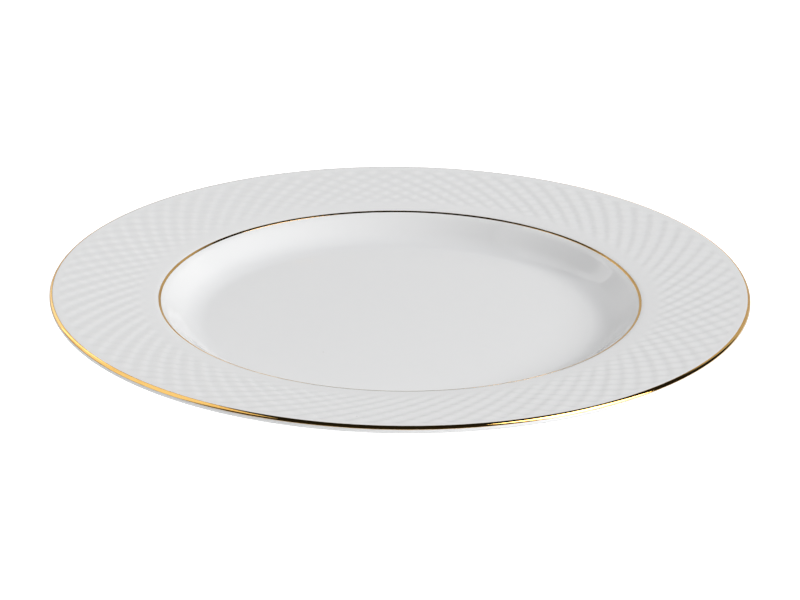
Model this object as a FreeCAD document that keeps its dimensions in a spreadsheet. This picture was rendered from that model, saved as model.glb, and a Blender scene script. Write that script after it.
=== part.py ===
import FreeCAD, Part
import math
import os
import Sketcher

# A china dinner plate: a porcelain body with a foot ring and a rim moulded in crossing curved ribs, coated
# with glaze on both sides of the bare standing edge, with a band of gold round the lip and a thin gold line
# where the rim meets the well. Millimetres. +Z runs up the axis of turning; the plate stands on z = 0.

DIMENSIONS = {
    # Overall, to the outside of the glaze
    "lip_radius": 134.85,
    "lip_height": 21.4,
    "lip_thickness": 3.0,
    "lip_round": 1.45,
    # Face: level floor, cove, steep well wall, shoulder and broad rising rim
    "floor_height": 7.8,
    "floor_corner_radius": 80.4,
    "floor_cove": 17.0,
    "shoulder_radius": 91.9,
    "shoulder_height": 17.45,
    "shoulder_round": 10.0,
    # Back: under-rim, well wall, foot ring and the recess inside it
    "underrim_radius": 95.5,
    "underrim_height": 14.0,
    "underrim_round": 14.0,
    "foot_root_radius": 78.8,
    "foot_root_height": 3.6,
    "foot_root_cove": 3.0,
    "foot_outer_radius": 77.6,
    "foot_inner_radius": 73.4,
    "foot_round": 0.9,
    "recess_radius": 71.6,
    "recess_height": 3.2,
    "recess_cove": 2.2,
    # Moulded ribs: two mirrored families of spirals that keep one angle to the radius
    "ribbed_inner_radius": 96.0,
    "ribbed_outer_radius": 132.3,
    "rib_count": 86,
    "rib_sweep": 1.12,
    "rib_relief": 0.4,
    "rib_steep_share": 0.36,
    "rib_fade_in": 9.0,
    "rib_fade_out": 2.0,
    # Coats
    "glaze_thickness": 0.35,
    "wiped_height": 0.7,
    "gold_thickness": 0.15,
    "edge_band_width": 1.2,
    "edge_band_drop": 1.45,
    "well_line_radius": 92.6,
    "well_line_width": 1.2,
}

RIM_HEIGHT = (
    "dims.shoulder_height + (dims.lip_height - dims.shoulder_height)"
    " * ({0} - dims.shoulder_radius) / (dims.lip_radius - dims.shoulder_radius)"
)

# Corners of the half outline, from the middle of the floor outwards, round the lip and back under the foot
# to the axis: name, radius, height and rounding, each an expression on the sheet. The ribbed part of the rim
# is marked off as a straight side of its own.
OUTLINE = [
    ("floor_middle", "0", "dims.floor_height", None),
    ("floor_corner", "dims.floor_corner_radius", "dims.floor_height", "dims.floor_cove"),
    ("shoulder", "dims.shoulder_radius", "dims.shoulder_height", "dims.shoulder_round"),
    ("ribs_start", "dims.ribbed_inner_radius", RIM_HEIGHT.format("dims.ribbed_inner_radius"), None),
    ("ribs_end", "dims.ribbed_outer_radius", RIM_HEIGHT.format("dims.ribbed_outer_radius"), None),
    ("lip_top", "dims.lip_radius", "dims.lip_height", "dims.lip_round"),
    ("lip_bottom", "dims.lip_radius", "dims.lip_height - dims.lip_thickness", "dims.lip_round"),
    ("underrim", "dims.underrim_radius", "dims.underrim_height", "dims.underrim_round"),
    ("foot_root", "dims.foot_root_radius", "dims.foot_root_height", "dims.foot_root_cove"),
    ("foot_outer", "dims.foot_outer_radius", "0", "dims.foot_round"),
    ("foot_inner", "dims.foot_inner_radius", "0", "dims.foot_round"),
    ("recess_corner", "dims.recess_radius", "dims.recess_height", "dims.recess_cove"),
    ("recess_middle", "0", "dims.recess_height", None),
]

NODES = ["porcelain_body", "face_glaze", "recess_glaze", "gold_edge_band", "gold_well_line"]
ORIGIN = -1
X_AXIS = -1
Y_AXIS = -2
START = 1
END = 2
PICK = 0.05  # how far along a side, from its corner, the rounding is picked
ROWS_OF_POLES = 48  # across the ribbed part of the rim
POLES_PER_RIB = 10
GOLD_SECTORS = 24
SEW_GAP = 0.001


def make_sheet(doc):
    """Spreadsheet with one named cell for each driving dimension."""
    sheet = doc.addObject("Spreadsheet::Sheet", "dims")
    for row, (alias, value) in enumerate(DIMENSIONS.items(), start=1):
        sheet.set(f"A{row}", alias)
        sheet.set(f"B{row}", str(value))
        sheet.setAlias(f"B{row}", alias)
    doc.recompute()
    return sheet


def bind(sketch, kind, expression, name, *elements):
    """Add a named driving constraint and tie its value to the sheet."""
    value = sketch.evalExpression(expression)
    index = sketch.addConstraint(Sketcher.Constraint(kind, *elements, value))
    sketch.renameConstraint(index, name)
    sketch.setExpression(f"Constraints.{name}", expression)


def place_corner(sketch, line, name, radius, height):
    """Hold the start of a side of the outline at a radius and height."""
    if radius == "0":
        sketch.addConstraint(Sketcher.Constraint("PointOnObject", line, START, Y_AXIS))
    else:
        bind(sketch, "DistanceX", radius, f"{name}_radius", ORIGIN, START, line, START)
    if height == "0":
        sketch.addConstraint(Sketcher.Constraint("PointOnObject", line, START, X_AXIS))
    else:
        bind(sketch, "DistanceY", height, f"{name}_height", ORIGIN, START, line, START)


def make_outline(doc):
    """Half outline of the glazed plate: straight sides between corners, most corners rounded by an arc."""
    sketch = doc.addObject("Sketcher::SketchObject", "plate_outline")
    sketch.Placement = FreeCAD.Placement(FreeCAD.Vector(), FreeCAD.Rotation(FreeCAD.Vector(1, 0, 0), 90))
    corners = [
        FreeCAD.Vector(sketch.evalExpression(radius), sketch.evalExpression(height), 0)
        for _, radius, height, _ in OUTLINE
    ]
    count = len(corners)
    for line in range(count):
        sketch.addGeometry(Part.LineSegment(corners[line], corners[(line + 1) % count]), False)
    for line in range(count):
        sketch.addConstraint(Sketcher.Constraint("Coincident", line, END, (line + 1) % count, START))
    for line, (name, radius, height, _) in enumerate(OUTLINE):
        place_corner(sketch, line, name, radius, height)
    for line, (name, _, _, rounding) in enumerate(OUTLINE):
        if rounding is None:
            continue
        arc = sketch.GeometryCount
        before = corners[line] + (corners[line - 1] - corners[line]) * PICK
        after = corners[line] + (corners[(line + 1) % count] - corners[line]) * PICK
        sketch.fillet(line - 1, line, before, after, sketch.evalExpression(rounding), True, True)
        bind(sketch, "Radius", rounding, f"{name}_round", arc)
    doc.recompute()
    return sketch


def revolve(doc, name, sketch):
    """Solid swept by a full turn of the half outline about the axis."""
    solid = doc.addObject("Part::Revolution", name)
    solid.Source = sketch
    solid.Axis = FreeCAD.Vector(0, 0, 1)
    solid.Angle = 360
    solid.Solid = True
    return solid


def offset(doc, name, source, distance):
    """Solid whose skin is a distance outside another's, or inside it where the distance is negative."""
    skin = doc.addObject("Part::Offset", name)
    skin.Source = source
    skin.setExpression("Value", distance)
    return skin


def boolean(doc, kind, name, base, tool):
    """Cut, Fuse or Common of two objects."""
    result = doc.addObject(f"Part::{kind}", name)
    result.Base = base
    result.Tool = tool
    return result


def cylinder(doc, name, radius, low, high):
    """Upright cylinder on the axis, between two heights."""
    disc = doc.addObject("Part::Cylinder", name)
    disc.setExpression("Radius", radius)
    disc.setExpression("Height", f"{high} - ({low})")
    disc.setExpression("Placement.Base.z", low)
    return disc


def tube(doc, name, inner, outer, low, high):
    """Upright tube on the axis, between two radii and two heights."""
    outside = cylinder(doc, f"{name}_outside", outer, low, high)
    inside = cylinder(doc, f"{name}_inside", inner, low, high)
    return boolean(doc, "Cut", name, outside, inside)


def smooth_coats(doc, envelope):
    """Body with its bare standing edge, and the two fields of glaze round it, before the ribs are raised."""
    inside_glaze = offset(doc, "inside_glaze", envelope, "-dims.glaze_thickness")
    wiped_zone = tube(
        doc, "wiped_zone", "dims.recess_radius", "dims.foot_root_radius", "-1", "dims.wiped_height"
    )
    bare_foot = boolean(doc, "Common", "bare_foot", envelope, wiped_zone)
    body = boolean(doc, "Fuse", "smooth_body", inside_glaze, bare_foot)
    glaze = boolean(doc, "Cut", "all_glaze", envelope, body)
    middle_of_foot = "(dims.foot_outer_radius + dims.foot_inner_radius) / 2"
    recess_zone = cylinder(doc, "recess_zone", middle_of_foot, "-1", "dims.foot_root_height")
    boolean(doc, "Common", "recess_glaze", glaze, recess_zone)
    face_glaze = boolean(doc, "Cut", "smooth_face_glaze", glaze, recess_zone)
    return body, face_glaze


def gilding(doc, envelope):
    """Gold fired on to the glaze: a band round the lip and a thin line at the head of the well."""
    outside_gold = offset(doc, "outside_gold", envelope, "dims.gold_thickness")
    gold_skin = boolean(doc, "Cut", "gold_skin", outside_gold, envelope)
    edge_zone = tube(
        doc,
        "edge_zone",
        "dims.lip_radius - dims.edge_band_width",
        "dims.lip_radius + 1",
        "dims.lip_height - dims.edge_band_drop",
        "dims.lip_height + 1",
    )
    edge_band = boolean(doc, "Common", "whole_edge_band", gold_skin, edge_zone)
    line_zone = tube(
        doc,
        "line_zone",
        "dims.well_line_radius - dims.well_line_width / 2",
        "dims.well_line_radius + dims.well_line_width / 2",
        "dims.underrim_height",
        "dims.lip_height",
    )
    well_line = boolean(doc, "Common", "whole_well_line", gold_skin, line_zone)
    return edge_band, well_line


def closed_solid(faces):
    """Solid bounded by faces that meet edge to edge."""
    shell = Part.makeShell(faces)
    shell.sewShape(SEW_GAP)
    return Part.Solid(shell)


def lay_in_sectors(doc, name, ring):
    """Thin ring with its skins divided at the same angles, so that its thickness stays even all round."""
    sheet = doc.getObject("dims")
    high = FreeCAD.Vector(0, 0, sheet.lip_height + 1)
    across = FreeCAD.Vector(sheet.lip_radius + 1, 0, 0)
    origin = FreeCAD.Vector()
    half_plane = Part.Face(Part.makePolygon([origin, across, across + high, high, origin]))
    section = ring.Shape.common(half_plane).Faces[0].OuterWire
    axis = FreeCAD.Vector(0, 0, 1)
    step = 360 / GOLD_SECTORS
    faces = []
    for sector in range(GOLD_SECTORS):
        skin = section.revolve(origin, axis, step)
        skin.rotate(origin, axis, step * sector)
        faces.extend(skin.Faces)
    solid = doc.addObject("Part::Feature", name)
    solid.Shape = closed_solid(faces)
    return solid


def ease(fraction):
    """Smooth step from 0 to 1 that starts and ends level."""
    clipped = min(max(fraction, 0.0), 1.0)
    return clipped**3 * (clipped * (6 * clipped - 15) + 10)


def rib_section(turns, steep_share):
    """Height across one rib, 0 to 1: a short steep rise, then a long gentle fall."""
    across = turns % 1.0
    if across < steep_share:
        half_waves = across / steep_share
    else:
        half_waves = 1 + (across - steep_share) / (1 - steep_share)
    return 0.5 - 0.5 * math.cos(math.pi * half_waves)


def rib_height(sheet, radius, angle):
    """Height of the crossed ribs above the smooth rim; a log spiral keeps the same angle to every radius."""
    inner_fade = ease((radius - sheet.ribbed_inner_radius) / sheet.rib_fade_in)
    outer_fade = ease((sheet.ribbed_outer_radius - radius) / sheet.rib_fade_out)
    spiral = sheet.rib_sweep * math.log(radius)
    turns_per_radian = sheet.rib_count / (2 * math.pi)
    both = sum(
        rib_section(turns_per_radian * (spiral + hand * angle), sheet.rib_steep_share) for hand in (-1, 1)
    )
    return sheet.rib_relief / 2 * inner_fade * outer_fade * (both - 1)


def ribbed_face(sheet, inner, outer):
    """Closed ring of cubic spline surface between two level circles, each (radius, height)."""
    columns = int(sheet.rib_count) * POLES_PER_RIB
    step = 2 * math.pi / columns
    swell = 3 / (2 + math.cos(step))  # poles of a closed cubic lie this much outside its circle
    poles = []
    for row in range(ROWS_OF_POLES):
        part = row / (ROWS_OF_POLES - 1)
        radius = inner[0] + part * (outer[0] - inner[0])
        height = inner[1] + part * (outer[1] - inner[1])
        ring = []
        for column in range(columns):
            angle = step * (column - 1)
            x = swell * radius * math.cos(angle)
            y = swell * radius * math.sin(angle)
            ring.append(FreeCAD.Vector(x, y, height + rib_height(sheet, radius, angle)))
        poles.append(ring)
    across_repeats = [4] + [1] * (ROWS_OF_POLES - 4) + [4]
    round_repeats = [1] * (columns + 1)
    surface = Part.BSplineSurface()
    surface.buildFromPolesMultsKnots(
        poles,
        across_repeats,
        round_repeats,
        [float(knot) for knot in range(len(across_repeats))],
        [float(knot) for knot in range(len(round_repeats))],
        False,
        True,
        3,
        3,
    )
    return surface.toShape()


def raise_ribs(doc, name, smooth):
    """Copy of a solid with ribs on each face that spans the marked part of the rim."""
    sheet = doc.getObject("dims")
    span = sheet.ribbed_outer_radius - sheet.ribbed_inner_radius
    faces = []
    for face in smooth.Shape.Faces:
        circles = {
            (round(edge.Curve.Radius, 6), round(edge.Curve.Center.z, 6))
            for edge in face.Edges
            if isinstance(edge.Curve, Part.Circle) and edge.Curve.Axis.z != 0
        }
        bottom, top = min(circles), max(circles)
        on_rim = len(circles) == 2 and abs(top[0] - bottom[0] - span) < sheet.glaze_thickness
        if on_rim and bottom[0] > sheet.shoulder_radius and bottom[1] > sheet.underrim_height:
            faces.append(ribbed_face(sheet, bottom, top))
        else:
            faces.append(face)
    solid = doc.addObject("Part::Feature", name)
    solid.Shape = closed_solid(faces)
    return solid


def check_and_write(doc):
    """Stop on any failed object, then write one STEP file for each physical piece."""
    for item in doc.Objects:
        if "Invalid" in item.State or "Error" in item.State:
            raise RuntimeError(f"{item.Name} failed: {item.State}")
    os.makedirs("parts", exist_ok=True)
    for node in NODES:
        piece = doc.getObject(node)
        piece.Label = node
        shape = piece.Shape
        if shape.isNull() or not shape.isValid() or len(shape.Solids) != 1 or shape.Volume <= 0:
            raise RuntimeError(f"{node} is not one valid solid")
        print(node, round(shape.Volume, 1), "mm3", len(shape.Faces), "faces")
        shape.exportStep(f"parts/{node}.step")


def main():
    doc = FreeCAD.newDocument("dinner_plate")
    make_sheet(doc)
    envelope = revolve(doc, "glazed_plate", make_outline(doc))
    smooth_body, smooth_face_glaze = smooth_coats(doc, envelope)
    edge_band, well_line = gilding(doc, envelope)
    doc.recompute()
    raise_ribs(doc, "porcelain_body", smooth_body)
    raise_ribs(doc, "face_glaze", smooth_face_glaze)
    lay_in_sectors(doc, "gold_edge_band", edge_band)
    lay_in_sectors(doc, "gold_well_line", well_line)
    doc.recompute()
    check_and_write(doc)


main()
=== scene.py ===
import math

import bpy
import numpy as np
from mathutils import Matrix, Vector


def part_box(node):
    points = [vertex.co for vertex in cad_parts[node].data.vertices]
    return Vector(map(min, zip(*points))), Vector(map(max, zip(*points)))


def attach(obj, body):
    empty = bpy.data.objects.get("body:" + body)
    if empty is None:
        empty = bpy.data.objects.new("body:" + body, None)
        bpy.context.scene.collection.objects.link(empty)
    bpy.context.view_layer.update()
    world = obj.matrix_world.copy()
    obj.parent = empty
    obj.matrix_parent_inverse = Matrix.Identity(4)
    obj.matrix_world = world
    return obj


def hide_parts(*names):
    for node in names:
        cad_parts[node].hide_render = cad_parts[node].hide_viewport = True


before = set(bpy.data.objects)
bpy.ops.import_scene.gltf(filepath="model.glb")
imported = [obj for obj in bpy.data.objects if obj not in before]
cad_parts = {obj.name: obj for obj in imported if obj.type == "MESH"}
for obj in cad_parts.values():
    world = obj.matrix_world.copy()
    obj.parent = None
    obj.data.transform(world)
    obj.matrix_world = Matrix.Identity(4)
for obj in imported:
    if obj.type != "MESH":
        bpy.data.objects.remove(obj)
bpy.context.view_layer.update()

# ---------------------------------------------------------------------------------------------------------
# Sizes, in metres. The plate stands on z = 0 and turns about Z.
# ---------------------------------------------------------------------------------------------------------
MM = 0.001
LIP_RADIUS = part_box("face_glaze")[1].x
WIPED_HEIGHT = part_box("face_glaze")[0].z
LIP_TOP = (LIP_RADIUS, 21.4 * MM)
LIP_UNDER = (LIP_RADIUS, 18.4 * MM)
LIP_ROUND = 1.45 * MM
FLOOR_HEIGHT = 7.8 * MM
FLOOR_CORNER = (80.4 * MM, FLOOR_HEIGHT)
FLOOR_COVE = 17.0 * MM
FLOOR_RISE = 0.35 * MM
SHOULDER = (91.9 * MM, 17.45 * MM)
SHOULDER_ROUND = 10.0 * MM
UNDERRIM = (95.5 * MM, 14.0 * MM)
UNDERRIM_ROUND = 14.0 * MM
FOOT_ROOT = (78.8 * MM, 3.6 * MM)
FOOT_ROOT_COVE = 3.0 * MM
FOOT_OUTER = (77.6 * MM, 0.0)
FOOT_INNER = (73.4 * MM, 0.0)
FOOT_ROUND = 0.9 * MM
RECESS_CORNER = (71.6 * MM, 3.2 * MM)
RECESS_COVE = 2.2 * MM
GLAZE = 0.35 * MM

RIBS = 86
RIB_SWEEP = 1.12
RIB_RELIEF = 0.40 * MM
RIB_STEEP_SHARE = 0.36
RIBBED_INNER = 96.0 * MM
RIBBED_OUTER = 132.3 * MM
RIB_FADE_IN = 9.0 * MM
RIB_FADE_OUT = 2.0 * MM
RIM_SLOPE = (LIP_TOP[1] - SHOULDER[1]) / (LIP_TOP[0] - SHOULDER[0])

GOLD_PROUD = 0.06 * MM
GOLD_SUNK = 0.09 * MM
GOLD_WAVER = 0.05 * MM
EDGE_BAND_INNER = LIP_RADIUS - 1.2 * MM
EDGE_BAND_LOW = LIP_TOP[1] - 1.25 * MM
WELL_LINE = (92.1 * MM, 93.1 * MM)

# Half of how unevenly the foot was wiped, how wide the glaze has gathered in the well's cove, and how far
# under the rim's slope a point may lie and still be on the face
WIPING_SWING = 0.08 * MM
GATHERING_SPREAD = 5.0 * MM
FACE_MARGIN = 1.5 * MM

# Points in a ring round the plate, and the longest side of the outlines that the gold follows
FINE = 12 * RIBS
MIDDLE = 6 * RIBS
COARSE = 3 * RIBS
LEAF_STEP = 0.05 * MM


# ---------------------------------------------------------------------------------------------------------
# Outlines: half sections of the plate, as rows of (radius, height)
# ---------------------------------------------------------------------------------------------------------
def rounded(before, corner, after, radius, steps):
    """Arc tangent to both sides of a corner.

    Its centre lies on the bisector, at radius / sin(half the angle) from the corner.
    """
    before, corner, after = (np.array(point, float) for point in (before, corner, after))
    back = (before - corner) / np.linalg.norm(before - corner)
    ahead = (after - corner) / np.linalg.norm(after - corner)
    half = math.acos(np.clip(back @ ahead, -1, 1)) / 2
    middle = (back + ahead) / np.linalg.norm(back + ahead)
    centre = corner + middle * radius / math.sin(half)
    start = corner + back * radius / math.tan(half) - centre
    side = np.sign(start[1] * back[0] - start[0] * back[1])
    turn = side * (math.pi - 2 * half) * np.linspace(0, 1, steps + 1)
    radii = start[0] * np.cos(turn) - start[1] * np.sin(turn)
    heights = start[0] * np.sin(turn) + start[1] * np.cos(turn)
    return centre + np.stack([radii, heights], axis=1)


def even_steps(points, longest):
    """Polyline with every side longer than `longest` divided into equal shorter ones."""
    pieces = []
    for start, end in zip(points[:-1], points[1:]):
        count = max(1, math.ceil(np.linalg.norm(end - start) / longest))
        share = np.arange(count)[:, None] / count
        pieces.append(start * (1 - share) + end * share)
    return np.concatenate(pieces + [points[-1:]])


def outward(points):
    """Unit normals of a polyline on its left-hand side, from the mean direction at each point."""
    along = np.gradient(points, axis=0)
    along /= np.linalg.norm(along, axis=1, keepdims=True)
    return np.stack([-along[:, 1], along[:, 0]], axis=1)


def rim_height(radius):
    """Height of the rim's straight slope at a radius, without its ribs."""
    return SHOULDER[1] + RIM_SLOPE * (radius - SHOULDER[0])


def face_outline(arc_steps, longest, rib_rows):
    """Outer outline of the face glaze from the centre, over the lip and down to the wiped line.

    Returns its four parts, laid end to end: the well, the ribbed rim, the lip and the underside.
    """
    lean = (FOOT_ROOT[0] - FOOT_OUTER[0]) / FOOT_ROOT[1]
    cove = rounded((0, FLOOR_HEIGHT), FLOOR_CORNER, SHOULDER, FLOOR_COVE, arc_steps)
    reach = cove[0, 0]
    floor_radii = np.linspace(0, reach, max(8, int(reach / longest)), endpoint=False)
    floor_heights = FLOOR_HEIGHT + FLOOR_RISE * (1 - (floor_radii / reach) ** 2) ** 2
    floor = np.stack([floor_radii, floor_heights], axis=1)
    shoulder = rounded(FLOOR_CORNER, SHOULDER, LIP_TOP, SHOULDER_ROUND, arc_steps)
    well = np.concatenate([floor, even_steps(np.concatenate([cove, shoulder]), longest)])
    ribbed_radii = np.linspace(RIBBED_INNER, RIBBED_OUTER, rib_rows)
    ribbed = np.stack([ribbed_radii, rim_height(ribbed_radii)], axis=1)
    lip = np.concatenate([
        rounded(SHOULDER, LIP_TOP, LIP_UNDER, LIP_ROUND, arc_steps + 2),
        rounded(LIP_TOP, LIP_UNDER, UNDERRIM, LIP_ROUND, arc_steps // 2 + 2),
    ])
    under = np.concatenate([
        rounded(LIP_UNDER, UNDERRIM, FOOT_ROOT, UNDERRIM_ROUND, arc_steps),
        rounded(UNDERRIM, FOOT_ROOT, FOOT_OUTER, FOOT_ROOT_COVE, arc_steps),
        np.array([[FOOT_OUTER[0] + lean * WIPED_HEIGHT, WIPED_HEIGHT]]),
    ])
    under = even_steps(np.concatenate([lip[-1:], under]), longest)[1:]
    return well, ribbed, lip, under


def recess_outline(arc_steps, longest):
    """Outline of the hollow inside the foot ring, from the wiped line up and in to the centre."""
    lean = (FOOT_INNER[0] - RECESS_CORNER[0]) / RECESS_CORNER[1]
    wiped = np.array([[FOOT_INNER[0] - lean * WIPED_HEIGHT, WIPED_HEIGHT]])
    cove = rounded(FOOT_INNER, RECESS_CORNER, (0, RECESS_CORNER[1]), RECESS_COVE, arc_steps)
    points = even_steps(np.concatenate([wiped, cove]), longest)
    radii = np.linspace(cove[-1, 0], 0, max(6, int(cove[-1, 0] / longest)))[1:]
    ceiling = np.stack([radii, np.full_like(radii, RECESS_CORNER[1])], axis=1)
    return np.concatenate([points, ceiling])


# ---------------------------------------------------------------------------------------------------------
# The moulded relief of the rim
# ---------------------------------------------------------------------------------------------------------
def ease(x):
    """Smooth step: x^3 (6x^2 - 15x + 10) with x held between 0 and 1."""
    x = np.clip(x, 0, 1)
    return x**3 * (x * (6 * x - 15) + 10)


def rib_section(turns):
    """Height of one rib across itself, 0 to 1: a half cosine up over the steep share, a longer one down."""
    across = turns % 1.0
    rising = across / RIB_STEEP_SHARE
    falling = 1 + (across - RIB_STEEP_SHARE) / (1 - RIB_STEEP_SHARE)
    half_waves = np.where(across < RIB_STEEP_SHARE, rising, falling)
    return 0.5 - 0.5 * np.cos(math.pi * half_waves)


def rib_height(radius, angle):
    """Relief of two crossing families of ribs, each on logarithmic spirals of opposite hand.

    Half the relief times the sum of both families' sections less one, eased to nothing at both edges.
    """
    radius = np.maximum(radius, 1e-4)
    sweep = RIB_SWEEP * np.log(radius * 1000)
    crossing = sum(rib_section(RIBS / (2 * math.pi) * (sweep + hand * angle)) for hand in (-1, 1)) - 1
    fade = ease((radius - RIBBED_INNER) / RIB_FADE_IN) * ease((RIBBED_OUTER - radius) / RIB_FADE_OUT)
    return RIB_RELIEF / 2 * fade * crossing


# ---------------------------------------------------------------------------------------------------------
# Turned surfaces
# ---------------------------------------------------------------------------------------------------------
def turned(points, columns, lift=None):
    """Grid (rows, columns, 3) of an outline turned about Z: (r cos a, r sin a, z) at equal angles a.

    `lift(radius, angle)` moves each point out along the outline's own normal.
    """
    angles = 2 * math.pi * np.arange(columns) / columns
    radius = np.repeat(points[:, :1], columns, axis=1)
    height = np.repeat(points[:, 1:], columns, axis=1)
    if lift is not None:
        normals = outward(points)
        amount = lift(radius, angles[None, :])
        height = height + normals[:, 1:] * amount
        radius = radius + normals[:, :1] * amount
    return np.stack([radius * np.cos(angles), radius * np.sin(angles), height], axis=2)


def band_faces(first, second, columns_first, columns_second):
    """Faces between two rings of points.

    Squares where the counts are equal, fans of triangles where one count divides the other.
    """
    if columns_first == columns_second:
        here = np.arange(columns_first)
        after = (here + 1) % columns_first
        return [np.stack([first + here, second + here, second + after, first + after], axis=1)]
    coarse, fine = min(columns_first, columns_second), max(columns_first, columns_second)
    ratio = fine // coarse
    coarse_start, fine_start = (first, second) if columns_first == coarse else (second, first)
    here = np.arange(coarse)
    after = (here + 1) % coarse
    fans = []
    for k in range(ratio):
        apex = here if k < (ratio + 1) // 2 else after
        near, far = here * ratio + k, (here * ratio + k + 1) % fine
        fans.append(np.stack([coarse_start + apex, fine_start + near, fine_start + far], axis=1))
    middle = (here * ratio + (ratio + 1) // 2) % fine
    fans.append(np.stack([coarse_start + here, fine_start + middle, coarse_start + after], axis=1))
    if columns_first != coarse:
        fans = [fan[:, ::-1] for fan in fans]
    return fans


def sew(name, grids, closed=False):
    """One mesh object from grids laid end to end; a row that lies on the axis becomes one pole point."""
    points, faces, rings = [], [], []
    start = 0
    for grid in grids:
        for row in grid:
            if np.hypot(row[:, 0], row[:, 1]).max() < 1e-7:
                row = row[:1]
            rings.append((start, len(row)))
            points.append(row)
            start += len(row)
    pairs = list(zip(rings[:-1], rings[1:])) + ([(rings[-1], rings[0])] if closed else [])
    for (first, count), (second, count_after) in pairs:
        here = np.arange(max(count, count_after))
        after = (here + 1) % len(here)
        if count == 1:
            faces.append(np.stack([np.full(len(here), first), second + here, second + after], axis=1))
        elif count_after == 1:
            faces.append(np.stack([first + here, np.full(len(here), second), first + after], axis=1))
        else:
            faces.extend(band_faces(first, second, count, count_after))
    corners = np.concatenate([block.ravel() for block in faces])
    sizes = np.concatenate([np.full(len(block), block.shape[1]) for block in faces])
    mesh = bpy.data.meshes.new(name)
    vertices = np.concatenate(points)
    mesh.vertices.add(len(vertices))
    mesh.vertices.foreach_set("co", vertices.astype(np.float32).ravel())
    mesh.loops.add(len(corners))
    mesh.loops.foreach_set("vertex_index", corners.astype(np.int32))
    mesh.polygons.add(len(sizes))
    mesh.polygons.foreach_set("loop_start", (np.cumsum(sizes) - sizes).astype(np.int32))
    mesh.polygons.foreach_set("use_smooth", np.ones(len(sizes), bool))
    mesh.update(calc_edges=True)
    mesh.validate()
    piece = bpy.data.objects.new(name, mesh)
    bpy.context.scene.collection.objects.link(piece)
    return piece


def store(piece, name, values):
    """Point attribute read by the materials."""
    layer = piece.data.attributes.new(name, "FLOAT", "POINT")
    layer.data.foreach_set("value", values.astype(np.float32))


# ---------------------------------------------------------------------------------------------------------
# The five pieces
# ---------------------------------------------------------------------------------------------------------
def under_glaze(parts):
    """The same outline parts moved in by the glaze's thickness, along the outline's own normals."""
    whole = np.concatenate(parts)
    inner = whole - outward(whole) * GLAZE
    inner[0, 0] = whole[0, 0] if whole[0, 0] == 0 else inner[0, 0]
    inner[-1, 0] = whole[-1, 0] if whole[-1, 0] == 0 else inner[-1, 0]
    return np.split(inner, np.cumsum([len(part) for part in parts])[:-1])


def face_skin_inside():
    """Grids of the inner side of the face glaze, from the centre over the lip to the wiped line."""
    well, ribbed, lip, under = under_glaze(face_outline(arc_steps=5, longest=6 * MM, rib_rows=26))
    return [
        turned(well, COARSE),
        turned(ribbed, MIDDLE, rib_height),
        turned(lip, COARSE),
        turned(under, COARSE),
    ]


def recess_skin_inside():
    """Grid of the inner side of the recess glaze, from the wiped line to the centre."""
    return turned(under_glaze([recess_outline(arc_steps=6, longest=6 * MM)])[0], COARSE)


def wiped_edge(grid, row):
    """Lifts one row of a grid by 0 to 0.16 mm round the foot, where the glaze was wiped off by hand.

    The lift is the swing times (1 + 0.6 sin(3 a + 0.7) + 0.4 sin(11 a + 2.1)) at the angle a.
    """
    angles = 2 * math.pi * np.arange(grid.shape[1]) / grid.shape[1]
    grid[row, :, 2] += WIPING_SWING * (1 + 0.6 * np.sin(3 * angles + 0.7) + 0.4 * np.sin(11 * angles + 2.1))
    return grid


def make_face_glaze():
    """Closed skin: the outer surface out over the lip and down to the foot, then the inner one back."""
    well, ribbed, lip, under = face_outline(arc_steps=10, longest=3.6 * MM, rib_rows=38)
    outer = [
        turned(well, COARSE),
        turned(ribbed, FINE, rib_height),
        turned(lip, MIDDLE),
        wiped_edge(turned(under, COARSE), -1),
    ]
    inner = face_skin_inside()
    wiped_edge(inner[-1], -1)
    piece = sew("white_face_glaze", outer + [grid[::-1] for grid in inner[::-1]])
    mark_glaze(piece)
    return piece


def mark_glaze(piece):
    """Stores each point's height on the relief, and how far the glaze has gathered in the well's cove.

    Gathering is exp(-(d / spread)^2) at the distance d from the radius of the foot's root, below the cove.
    """
    points = np.empty(len(piece.data.vertices) * 3, np.float32)
    piece.data.vertices.foreach_get("co", points)
    x, y, z = points.reshape(-1, 3).T.astype(float)
    radius, angle = np.hypot(x, y), np.arctan2(y, x)
    on_face = z > rim_height(radius) - FACE_MARGIN
    store(piece, "relief", np.where(on_face, 2 * rib_height(radius, angle) / RIB_RELIEF, 0))
    store(piece, "gathered", np.exp(-(((radius - FOOT_ROOT[0]) / GATHERING_SPREAD) ** 2)))


def make_recess_glaze():
    """Closed skin inside the foot ring: the hidden side out from the centre, then the shown side in."""
    outer = wiped_edge(turned(recess_outline(arc_steps=8, longest=3 * MM), COARSE), 0)
    inner = wiped_edge(recess_skin_inside(), 0)
    piece = sew("white_recess_glaze", [inner[::-1], outer])
    store(piece, "relief", np.zeros(len(piece.data.vertices)))
    store(piece, "gathered", np.zeros(len(piece.data.vertices)))
    return piece


def make_porcelain_body():
    """Closed body: under the face glaze to the foot, round the bare foot ring, under the recess glaze."""
    outer_side = rounded(FOOT_ROOT, FOOT_OUTER, FOOT_INNER, FOOT_ROUND, 8)
    inner_side = rounded(FOOT_OUTER, FOOT_INNER, RECESS_CORNER, FOOT_ROUND, 8)
    foot = even_steps(np.concatenate([outer_side, inner_side]), 0.8 * MM)
    return sew("biscuit_porcelain_body", face_skin_inside() + [turned(foot, COARSE), recess_skin_inside()])


def hand_drift(angle, seed):
    """Slow waver of a hand-held brush, about -1 to 1.

    The sum of sines of 2 to 23 waves a turn, each over the root of its count, with seeded phases, over 2.2.
    """
    waves = np.array([2, 3, 5, 8, 13, 23])
    phases = np.random.default_rng(seed).uniform(0, 2 * math.pi, len(waves))
    return np.sin(waves * angle[..., None] + phases) @ (1 / waves**0.5) / 2.2


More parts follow.
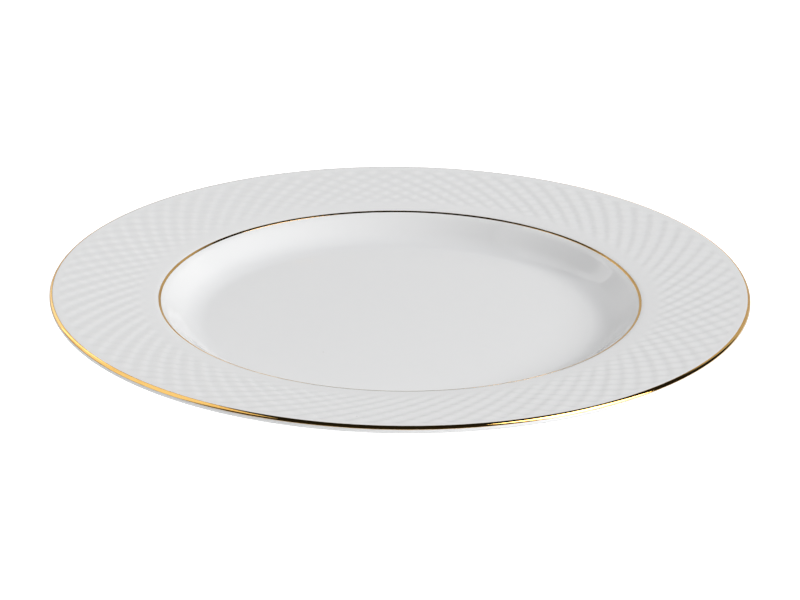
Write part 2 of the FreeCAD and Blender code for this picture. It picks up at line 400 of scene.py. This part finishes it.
def lengths_along(path):
    """Length along a path up to each of its points."""
    return np.concatenate([[0], np.cumsum(np.linalg.norm(np.diff(path, axis=0), axis=1))])


def length_where(path, reached):
    """Length along a path at the first point for which a condition holds."""
    return lengths_along(path)[np.argmax(reached)]


def gold_ring(name, path, start, end, seed, rows):
    """Closed ring of gold lying on an outline between two lengths along it.

    At the share t of its width the gold's surface stands (proud + sunk) (1 - |2t - 1|^30) above its sunk
    back, and both of its sides waver round the ring.
    """
    lengths = lengths_along(path)
    normals = outward(path)
    angles = 2 * math.pi * np.arange(FINE) / FINE
    low = start + GOLD_WAVER * hand_drift(angles, seed)
    high = end + GOLD_WAVER * hand_drift(angles, seed + 1)

    def laid(across, stand_off):
        place = low + (high - low) * across[:, None]
        lean_out, lean_up = (np.interp(place, lengths, part) * stand_off for part in normals.T)
        radius, height = (np.interp(place, lengths, part) for part in path.T)
        radius, height = radius + lean_out, height + lean_up
        return np.stack([radius * np.cos(angles), radius * np.sin(angles), height], axis=2)

    across = (1 - np.cos(math.pi * np.linspace(0, 1, rows))) / 2
    crown = 1 - np.abs(2 * across - 1) ** 30
    shown = laid(across, ((GOLD_PROUD + GOLD_SUNK) * crown - GOLD_SUNK)[:, None])
    hidden = laid(np.linspace(1, 0, 6)[1:-1], -GOLD_SUNK)
    return sew(name, [shown, hidden], closed=True)


def make_edge_band():
    """Gold over the upper outer round of the lip."""
    _, ribbed, lip, _ = face_outline(arc_steps=60, longest=LEAF_STEP, rib_rows=44)
    path = np.concatenate([even_steps(ribbed[-2:], LEAF_STEP), lip])
    start = length_where(path, path[:, 0] > EDGE_BAND_INNER)
    end = length_where(path, (path[:, 0] > LIP_RADIUS - 0.5 * MM) & (path[:, 1] < EDGE_BAND_LOW))
    return gold_ring("gold_edge_band_leaf", path, start, end, seed=11, rows=18)


def make_well_line():
    """Thin gold line round the top of the well."""
    well, ribbed, _, _ = face_outline(arc_steps=60, longest=LEAF_STEP, rib_rows=44)
    path = np.concatenate([well[len(well) // 2:], ribbed[:1]])
    start = length_where(path, path[:, 0] > WELL_LINE[0])
    end = length_where(path, path[:, 0] > WELL_LINE[1])
    return gold_ring("gold_well_line_leaf", path, start, end, seed=29, rows=12)


# ---------------------------------------------------------------------------------------------------------
# Finishes
# ---------------------------------------------------------------------------------------------------------
# How strongly the table glows to the camera, and to matt surfaces that it lights
TABLE_SEEN = 0.92
TABLE_BOUNCE = 0.42

# What is left of the white's red, green and blue where the glaze lies thickest
POOLED_TONE = (0.965, 0.972, 0.982)


def new_group(name, inputs, outputs):
    """Shader node group with float inputs (name, default) and outputs (name, socket type)."""
    group = bpy.data.node_groups.new(name, "ShaderNodeTree")
    for label, default in inputs:
        socket = group.interface.new_socket(label, in_out="INPUT", socket_type="NodeSocketFloat")
        socket.default_value = default
    for label, kind in outputs:
        group.interface.new_socket(label, in_out="OUTPUT", socket_type=kind)
    return group, group.nodes.new("NodeGroupInput"), group.nodes.new("NodeGroupOutput")


def add(tree, kind, **settings):
    """Node of a kind, with its own settings and, by socket name, its input values."""
    node = tree.nodes.new(kind)
    for name, value in settings.items():
        if name in node.bl_rna.properties:
            setattr(node, name, value)
        else:
            node.inputs[name.replace("_", " ")].default_value = value
    return node


def calc(tree, operation, first, second=None, third=None, clamp=False):
    """Math node; each operand is a number or a socket. Returns its result socket."""
    node = tree.nodes.new("ShaderNodeMath")
    node.operation = operation
    node.use_clamp = clamp
    for socket, operand in zip(node.inputs, (first, second, third)):
        if isinstance(operand, (int, float)):
            socket.default_value = operand
        elif operand is not None:
            tree.links.new(operand, socket)
    return node.outputs[0]


def noise(tree, vector, scale, detail, roughness):
    """Noise texture's value at a vector; scale may be a number or a socket."""
    node = tree.nodes.new("ShaderNodeTexNoise")
    node.inputs["Detail"].default_value = detail
    node.inputs["Roughness"].default_value = roughness
    tree.links.new(vector, node.inputs["Vector"])
    if isinstance(scale, (int, float)):
        node.inputs["Scale"].default_value = scale
    else:
        tree.links.new(scale, node.inputs["Scale"])
    return node.outputs["Fac"]


def ramp(tree, value, low, high, out_low=0.0, out_high=1.0):
    """Value mapped smoothly from low..high to out_low..out_high."""
    node = tree.nodes.new("ShaderNodeMapRange")
    node.interpolation_type = "SMOOTHSTEP"
    tree.links.new(value, node.inputs["Value"])
    for label, number in (("From Min", low), ("From Max", high), ("To Min", out_low), ("To Max", out_high)):
        node.inputs[label].default_value = number
    return node.outputs["Result"]


def blend_colours(tree, factor, first, second):
    """Mix of two colours by a factor socket; each colour is (red, green, blue) or a socket."""
    node = tree.nodes.new("ShaderNodeMix")
    node.data_type = "RGBA"
    tree.links.new(factor, node.inputs[0])
    for socket, colour in zip(node.inputs[6:8], (first, second)):
        if isinstance(colour, tuple):
            socket.default_value = (*colour, 1)
        else:
            tree.links.new(colour, socket)
    return node.outputs[2]


def make_kiln_surface():
    """Group: the fired skin of glaze and bare clay, with undulation, a fine grain and rare kiln specks.

    A speck is a soft dot at the middle of a random cell, in the 7 cells of 100 that are drawn for one.
    """
    group, given, out = new_group(
        "kiln_surface",
        [("Undulation Scale", 260.0), ("Grain Scale", 2400.0), ("Speck Scale", 90.0)],
        [("Undulation", "NodeSocketFloat"), ("Grain", "NodeSocketFloat"), ("Specks", "NodeSocketFloat")],
    )
    place = group.nodes.new("ShaderNodeTexCoord").outputs["Object"]
    undulation = noise(group, place, given.outputs["Undulation Scale"], 3.0, 0.45)
    group.links.new(undulation, out.inputs["Undulation"])
    grain = noise(group, place, given.outputs["Grain Scale"], 2.0, 0.6)
    group.links.new(grain, out.inputs["Grain"])
    cells = group.nodes.new("ShaderNodeTexVoronoi")
    group.links.new(place, cells.inputs["Vector"])
    group.links.new(given.outputs["Speck Scale"], cells.inputs["Scale"])
    dot = ramp(group, cells.outputs["Distance"], 0.012, 0.03, 1.0, 0.0)
    draw = group.nodes.new("ShaderNodeSeparateColor")
    group.links.new(cells.outputs["Color"], draw.inputs["Color"])
    chosen = calc(group, "GREATER_THAN", draw.outputs["Red"], 0.93)
    group.links.new(calc(group, "MULTIPLY", dot, chosen), out.inputs["Specks"])
    return group


def make_turning_marks():
    """Group: fine lines running round the axis, as a wheel or a banding brush leaves them.

    Noise read at (x / radius, y / radius, radius + 1.7 z), the first two stretched little and the last
    much, so that the marks run round without a seam. The broad marks have 0.12 as many lines.
    """
    group, given, out = new_group(
        "turning_marks",
        [("Lines per Metre", 4000.0), ("Length", 6.0)],
        [("Lines", "NodeSocketFloat"), ("Broad", "NodeSocketFloat")],
    )
    place = group.nodes.new("ShaderNodeTexCoord").outputs["Object"]
    axes = group.nodes.new("ShaderNodeSeparateXYZ")
    group.links.new(place, axes.inputs[0])
    x, y, z = (axes.outputs[axis] for axis in "XYZ")
    radius = calc(group, "SQRT", calc(group, "MULTIPLY_ADD", x, x, calc(group, "MULTIPLY", y, y)))
    safe = calc(group, "MAXIMUM", radius, 0.001)
    across = calc(group, "MULTIPLY_ADD", z, 1.7, radius)
    for share, label in ((1.0, "Lines"), (0.12, "Broad")):
        vector = group.nodes.new("ShaderNodeCombineXYZ")
        around = calc(group, "MULTIPLY", given.outputs["Length"], share**0.5)
        for axis, side in (("X", x), ("Y", y)):
            turn = calc(group, "DIVIDE", side, safe)
            group.links.new(calc(group, "MULTIPLY", turn, around), vector.inputs[axis])
        lines = calc(group, "MULTIPLY", across, given.outputs["Lines per Metre"])
        group.links.new(calc(group, "MULTIPLY", lines, share), vector.inputs["Z"])
        group.links.new(noise(group, vector.outputs[0], 1.0, 2.0, 0.55), out.inputs[label])
    return group


def make_handling():
    """Group: the marks of use, a cloudy haze and scattered hairlines in three directions."""
    group, given, out = new_group(
        "handling",
        [("Haze Scale", 22.0), ("Hairline Scale", 260.0)],
        [("Haze", "NodeSocketFloat"), ("Hairlines", "NodeSocketFloat")],
    )
    place = group.nodes.new("ShaderNodeTexCoord").outputs["Object"]
    cloud = noise(group, place, given.outputs["Haze Scale"], 4.0, 0.6)
    group.links.new(ramp(group, cloud, 0.42, 0.72), out.inputs["Haze"])
    masks = []
    for turn in (0.4, 1.7, 2.6):
        mapping = group.nodes.new("ShaderNodeMapping")
        mapping.inputs["Rotation"].default_value = (0, 0, turn)
        mapping.inputs["Scale"].default_value = (1.0, 0.05, 1.0)
        group.links.new(place, mapping.inputs["Vector"])
        streak = noise(group, mapping.outputs[0], given.outputs["Hairline Scale"], 1.0, 0.4)
        masks.append(ramp(group, streak, 0.70, 0.76))
    hairlines = calc(group, "MAXIMUM", masks[0], calc(group, "MAXIMUM", masks[1], masks[2]))
    group.links.new(hairlines, out.inputs["Hairlines"])
    return group


def new_material(name):
    """Material with a Principled BSDF; returns (material, its node tree, the shader node)."""
    material = bpy.data.materials.new(name)
    material.use_nodes = True
    tree = material.node_tree
    return material, tree, tree.nodes["Principled BSDF"]


def use_group(tree, group, **values):
    """The group as a node of this material, with its input values by name."""
    node = tree.nodes.new("ShaderNodeGroup")
    node.node_tree = group
    for name, value in values.items():
        node.inputs[name.replace("_", " ")].default_value = value
    return node


def bump(tree, shader, layers):
    """Chain of Bump nodes (height socket, depth in metres) into the shader's Normal."""
    normal = None
    for height, depth in layers:
        node = add(tree, "ShaderNodeBump", Strength=1.0, Distance=depth)
        tree.links.new(height, node.inputs["Height"])
        if normal is not None:
            tree.links.new(normal, node.inputs["Normal"])
        normal = node.outputs["Normal"]
    tree.links.new(normal, shader.inputs["Normal"])


def glaze_finish(name, kiln, handling, white, speck):
    """Clear glaze over white china: soft white under a hard clear coat, cooler where the glaze gathers."""
    material, tree, shader = new_material(name)
    fired = use_group(tree, kiln, Undulation_Scale=210.0, Grain_Scale=1500.0, Speck_Scale=70.0)
    worn = use_group(tree, handling, Haze_Scale=16.0, Hairline_Scale=240.0)
    relief = add(tree, "ShaderNodeAttribute", attribute_name="relief").outputs["Fac"]
    gathered = add(tree, "ShaderNodeAttribute", attribute_name="gathered").outputs["Fac"]
    cloud = ramp(tree, fired.outputs["Undulation"], 0.3, 0.7)
    hollow = calc(tree, "MULTIPLY_ADD", relief, -0.35, 0.4)
    thick = calc(tree, "ADD", calc(tree, "MULTIPLY_ADD", gathered, 0.45, hollow),
                 calc(tree, "MULTIPLY", cloud, 0.15), clamp=True)
    pooled = tuple(channel * tone for channel, tone in zip(white, POOLED_TONE))
    china = blend_colours(tree, thick, white, pooled)
    specked = blend_colours(tree, fired.outputs["Specks"], china, speck)
    tree.links.new(specked, shader.inputs["Base Color"])
    haze = calc(tree, "MULTIPLY_ADD", worn.outputs["Haze"], 0.05, 0.42)
    rough = calc(tree, "MULTIPLY_ADD", worn.outputs["Hairlines"], 0.06, haze)
    tree.links.new(rough, shader.inputs["Roughness"])
    shader.inputs["Specular IOR Level"].default_value = 0.04
    shader.inputs["Coat Weight"].default_value = 1.0
    shader.inputs["Coat Roughness"].default_value = 0.018
    shader.inputs["Coat IOR"].default_value = 1.43
    bump(tree, shader, [(fired.outputs["Undulation"], 0.00003), (fired.outputs["Grain"], 0.0000015)])
    return material


def biscuit_finish(kiln, turning, handling):
    """Bare fired clay of the foot ring: matt, a little warm, fine grained, turned, and soiled by use."""
    material, tree, shader = new_material("bare_fired_clay")
    fired = use_group(tree, kiln, Undulation_Scale=420.0, Grain_Scale=3800.0, Speck_Scale=160.0)
    marks = use_group(tree, turning, Lines_per_Metre=3600.0, Length=4.0)
    worn = use_group(tree, handling, Haze_Scale=48.0, Hairline_Scale=420.0)
    clay = blend_colours(tree, ramp(tree, fired.outputs["Grain"], 0.3, 0.7),
                         (0.60, 0.575, 0.53), (0.72, 0.70, 0.665))
    grime = calc(tree, "MULTIPLY", worn.outputs["Haze"], ramp(tree, marks.outputs["Broad"], 0.35, 0.7))
    soil = calc(tree, "MULTIPLY_ADD", worn.outputs["Hairlines"], 0.35,
                calc(tree, "MULTIPLY", grime, 0.55), clamp=True)
    soiled = blend_colours(tree, soil, clay, (0.36, 0.345, 0.32))
    specked = blend_colours(tree, fired.outputs["Specks"], soiled, (0.16, 0.12, 0.09))
    tree.links.new(specked, shader.inputs["Base Color"])
    rough = calc(tree, "MULTIPLY_ADD", fired.outputs["Grain"], 0.2, 0.68)
    tree.links.new(rough, shader.inputs["Roughness"])
    shader.inputs["Specular IOR Level"].default_value = 0.35
    bump(tree, shader, [
        (marks.outputs["Lines"], 0.00004),
        (fired.outputs["Grain"], 0.00003),
        (fired.outputs["Undulation"], 0.00004),
    ])
    return material


def gold_finish(name, kiln, turning, handling, bright, deep, roughness, wear):
    """Burnished fired gold: brush lines round the ring, deeper colour between them, haze from handling."""
    material, tree, shader = new_material(name)
    marks = use_group(tree, turning, Lines_per_Metre=5200.0, Length=7.0)
    worn = use_group(tree, handling, Haze_Scale=60.0, Hairline_Scale=900.0)
    fired = use_group(tree, kiln, Undulation_Scale=900.0, Grain_Scale=5200.0, Speck_Scale=260.0)
    dulled = calc(tree, "MULTIPLY", worn.outputs["Haze"], wear)
    mixed = calc(tree, "MULTIPLY_ADD", marks.outputs["Broad"], 0.6, dulled)
    gold = blend_colours(tree, ramp(tree, mixed, 0.1, 0.8), bright, deep)
    tree.links.new(gold, shader.inputs["Base Color"])
    shader.inputs["Metallic"].default_value = 1.0
    rough = calc(tree, "MULTIPLY_ADD", marks.outputs["Lines"], 0.03, roughness)
    rough = calc(tree, "MULTIPLY_ADD", worn.outputs["Haze"], 0.05 * wear, rough)
    rough = calc(tree, "MULTIPLY_ADD", worn.outputs["Hairlines"], 0.08, rough)
    tree.links.new(rough, shader.inputs["Roughness"])
    bump(tree, shader, [
        (marks.outputs["Lines"], 0.000006),
        (fired.outputs["Undulation"], 0.000006),
        (fired.outputs["Grain"], 0.000001),
    ])
    return material


def floor_finish():
    """Pale matt table lit from within, so that it stays white in the plate's shadow. Clear from below."""
    material, tree, shader = new_material("pale_table")
    shader.inputs["Base Color"].default_value = (0.76, 0.76, 0.76, 1)
    shader.inputs["Roughness"].default_value = 0.9
    shader.inputs["Specular IOR Level"].default_value = 0.0
    shader.inputs["Emission Color"].default_value = (1, 1, 1, 1)
    path = tree.nodes.new("ShaderNodeLightPath")
    lit = calc(tree, "MULTIPLY", path.outputs["Is Diffuse Ray"], TABLE_BOUNCE)
    lit = calc(tree, "MULTIPLY_ADD", path.outputs["Is Camera Ray"], TABLE_SEEN, lit)
    tree.links.new(lit, shader.inputs["Emission Strength"])
    clear = tree.nodes.new("ShaderNodeBsdfTransparent")
    sides = tree.nodes.new("ShaderNodeMixShader")
    tree.links.new(tree.nodes.new("ShaderNodeNewGeometry").outputs["Backfacing"], sides.inputs[0])
    tree.links.new(shader.outputs[0], sides.inputs[1])
    tree.links.new(clear.outputs[0], sides.inputs[2])
    tree.links.new(sides.outputs[0], tree.nodes["Material Output"].inputs["Surface"])
    return material


# ---------------------------------------------------------------------------------------------------------
# Table, lights and camera
# ---------------------------------------------------------------------------------------------------------
LIGHT_DISTANCE = 4.0
LIGHT_AIM = Vector((0, 0, 0.02))

# The wall and the room are painted on the world; room_brightness says what each fade is a range of
WALL_RADIANCE = 0.54
WALL_TOP_FADE = (0.57, 0.67)
WALL_BACK_FADE = (-0.1, 0.4)
WALL_SIDE_FADE = (0.69, 0.76)
WALL_LEFT_FADE = (-0.50, -0.20)
WALL_LEFT_GAIN = 2.2
ROOM_FADE = (-0.9, -0.1)
ROOM_FRONT = 0.02
ROOM_BACK = 0.012

# Degrees, metres, and millimetres of lens on a 36 mm sensor
CAMERA_ELEVATION = 21.8
CAMERA_PITCH = -0.166
CAMERA_ROLL = 0.62
CAMERA_DISTANCE = 1.755
CAMERA_LENS = 204.9


def make_floor():
    """Flat disc on z = 0, radius 12 m: rings of points at equal angles."""
    radii = np.array([0.0, 0.1, 0.3, 1.0, 3.0, 12.0])
    floor = sew("table", [turned(np.stack([radii, np.zeros_like(radii)], axis=1), 96)])
    floor.data.materials.append(floor_finish())


def direction(azimuth, elevation):
    """Unit vector at degrees from +X towards +Y, and above the horizon."""
    a, e = math.radians(azimuth), math.radians(elevation)
    return Vector((math.cos(e) * math.cos(a), math.cos(e) * math.sin(a), math.sin(e)))


def soft_box(name, azimuth, elevation, width, height, radiance):
    """Rectangular light facing the plate; its place, width and height are in degrees as seen from there."""
    light = bpy.data.lights.new(name, "AREA")
    light.shape = "RECTANGLE"
    light.size = 2 * LIGHT_DISTANCE * math.tan(math.radians(width / 2))
    light.size_y = 2 * LIGHT_DISTANCE * math.tan(math.radians(height / 2))
    light.energy = radiance * math.pi * light.size * light.size_y
    lamp = bpy.data.objects.new(name, light)
    bpy.context.scene.collection.objects.link(lamp)
    towards = direction(azimuth, elevation)
    lamp.location = towards * LIGHT_DISTANCE + LIGHT_AIM
    lamp.rotation_euler = towards.to_track_quat("Z", "Y").to_euler()
    lamp.visible_camera = False


def room_brightness(tree):
    """Brightness of the dim room and of the pale wall that stands low behind the plate.

    In a direction (x, y, z) the wall is its radiance times four fades: out upwards by z, in backwards by y,
    out to the sides by |x| / sqrt(1 - z^2), where the fill begins, and brighter to the left by x. The room
    adds its own dim level, which falls a little from the front to the back.
    """
    axes = tree.nodes.new("ShaderNodeSeparateXYZ")
    tree.links.new(tree.nodes.new("ShaderNodeTexCoord").outputs["Generated"], axes.inputs[0])
    x, y, z = (axes.outputs[axis] for axis in "XYZ")
    low = ramp(tree, z, *WALL_TOP_FADE, 1.0, 0.0)
    behind = ramp(tree, y, *WALL_BACK_FADE)
    room = ramp(tree, y, *ROOM_FADE, ROOM_FRONT, ROOM_BACK)
    level = calc(tree, "SQRT", calc(tree, "SUBTRACT", 1.0, calc(tree, "MULTIPLY", z, z)))
    sideways = calc(tree, "DIVIDE", calc(tree, "ABSOLUTE", x), calc(tree, "MAXIMUM", level, 0.01))
    between = ramp(tree, sideways, *WALL_SIDE_FADE, 1.0, 0.0)
    left = ramp(tree, x, *WALL_LEFT_FADE, WALL_LEFT_GAIN, 1.0)
    standing = calc(tree, "MULTIPLY", low, behind)
    wall = calc(tree, "MULTIPLY", standing, calc(tree, "MULTIPLY", between, left))
    return calc(tree, "MULTIPLY_ADD", wall, WALL_RADIANCE, room)


def light_studio():
    """Two big soft boxes and a dim room with a pale wall. The camera itself sees plain white instead."""
    soft_box("key_soft_box", azimuth=-23, elevation=36, width=38, height=42, radiance=7.65)
    soft_box("fill_soft_box", azimuth=167, elevation=34, width=68, height=62, radiance=1.04)
    world = bpy.data.worlds.new("dim_room")
    world.use_nodes = True
    tree = world.node_tree
    room = tree.nodes["Background"]
    tree.links.new(room_brightness(tree), room.inputs["Color"])
    white = tree.nodes.new("ShaderNodeBackground")
    white.inputs["Color"].default_value = (1, 1, 1, 1)
    sides = tree.nodes.new("ShaderNodeMixShader")
    tree.links.new(tree.nodes.new("ShaderNodeLightPath").outputs["Is Camera Ray"], sides.inputs[0])
    tree.links.new(room.outputs[0], sides.inputs[1])
    tree.links.new(white.outputs[0], sides.inputs[2])
    tree.links.new(sides.outputs[0], tree.nodes["World Output"].inputs["Surface"])
    bpy.context.scene.world = world
    bpy.context.scene.view_settings.view_transform = "Standard"


def place_camera():
    """Long lens from the front, 13 plate radii away, then pitched and rolled a little."""
    camera = bpy.data.cameras.new("camera")
    camera.sensor_width = 36.0
    camera.lens = CAMERA_LENS
    camera.dof.use_dof = False
    camera.clip_start, camera.clip_end = 0.05, 60.0
    eye = bpy.data.objects.new("camera", camera)
    bpy.context.scene.collection.objects.link(eye)
    centre = Vector((0, 0, LIP_TOP[1]))
    away = direction(-90, CAMERA_ELEVATION)
    look = (-away).to_track_quat("-Z", "Y").to_matrix()
    for degrees, axis in ((CAMERA_PITCH, "X"), (CAMERA_ROLL, "Z")):
        look = look @ Matrix.Rotation(math.radians(degrees), 3, axis)
    eye.matrix_world = Matrix.Translation(centre + away * CAMERA_DISTANCE) @ look.to_4x4()
    bpy.context.scene.camera = eye


# ---------------------------------------------------------------------------------------------------------
# The plate
# ---------------------------------------------------------------------------------------------------------
def dress(piece, node, material):
    """Puts a finished piece in a CAD node's place."""
    piece.data.materials.append(material)
    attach(piece, "root")
    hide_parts(node)


place_camera()
light_studio()
make_floor()

KILN, TURNING, HANDLING = make_kiln_surface(), make_turning_marks(), make_handling()
dress(make_porcelain_body(), "porcelain_body", biscuit_finish(KILN, TURNING, HANDLING))
dress(make_face_glaze(), "face_glaze",
      glaze_finish("clear_face_glaze", KILN, HANDLING,
                   white=(0.83, 0.83, 0.83), speck=(0.3, 0.26, 0.22)))
dress(make_recess_glaze(), "recess_glaze",
      glaze_finish("clear_recess_glaze", KILN, HANDLING,
                   white=(0.78, 0.78, 0.775), speck=(0.25, 0.21, 0.17)))
dress(make_edge_band(), "gold_edge_band",
      gold_finish("burnished_gold", KILN, TURNING, HANDLING,
                  bright=(0.95, 0.60, 0.19), deep=(0.84, 0.47, 0.12), roughness=0.03, wear=0.5))
dress(make_well_line(), "gold_well_line",
      gold_finish("fine_gold_line", KILN, TURNING, HANDLING,
                  bright=(0.84, 0.53, 0.18), deep=(0.70, 0.41, 0.12), roughness=0.04, wear=0.7))
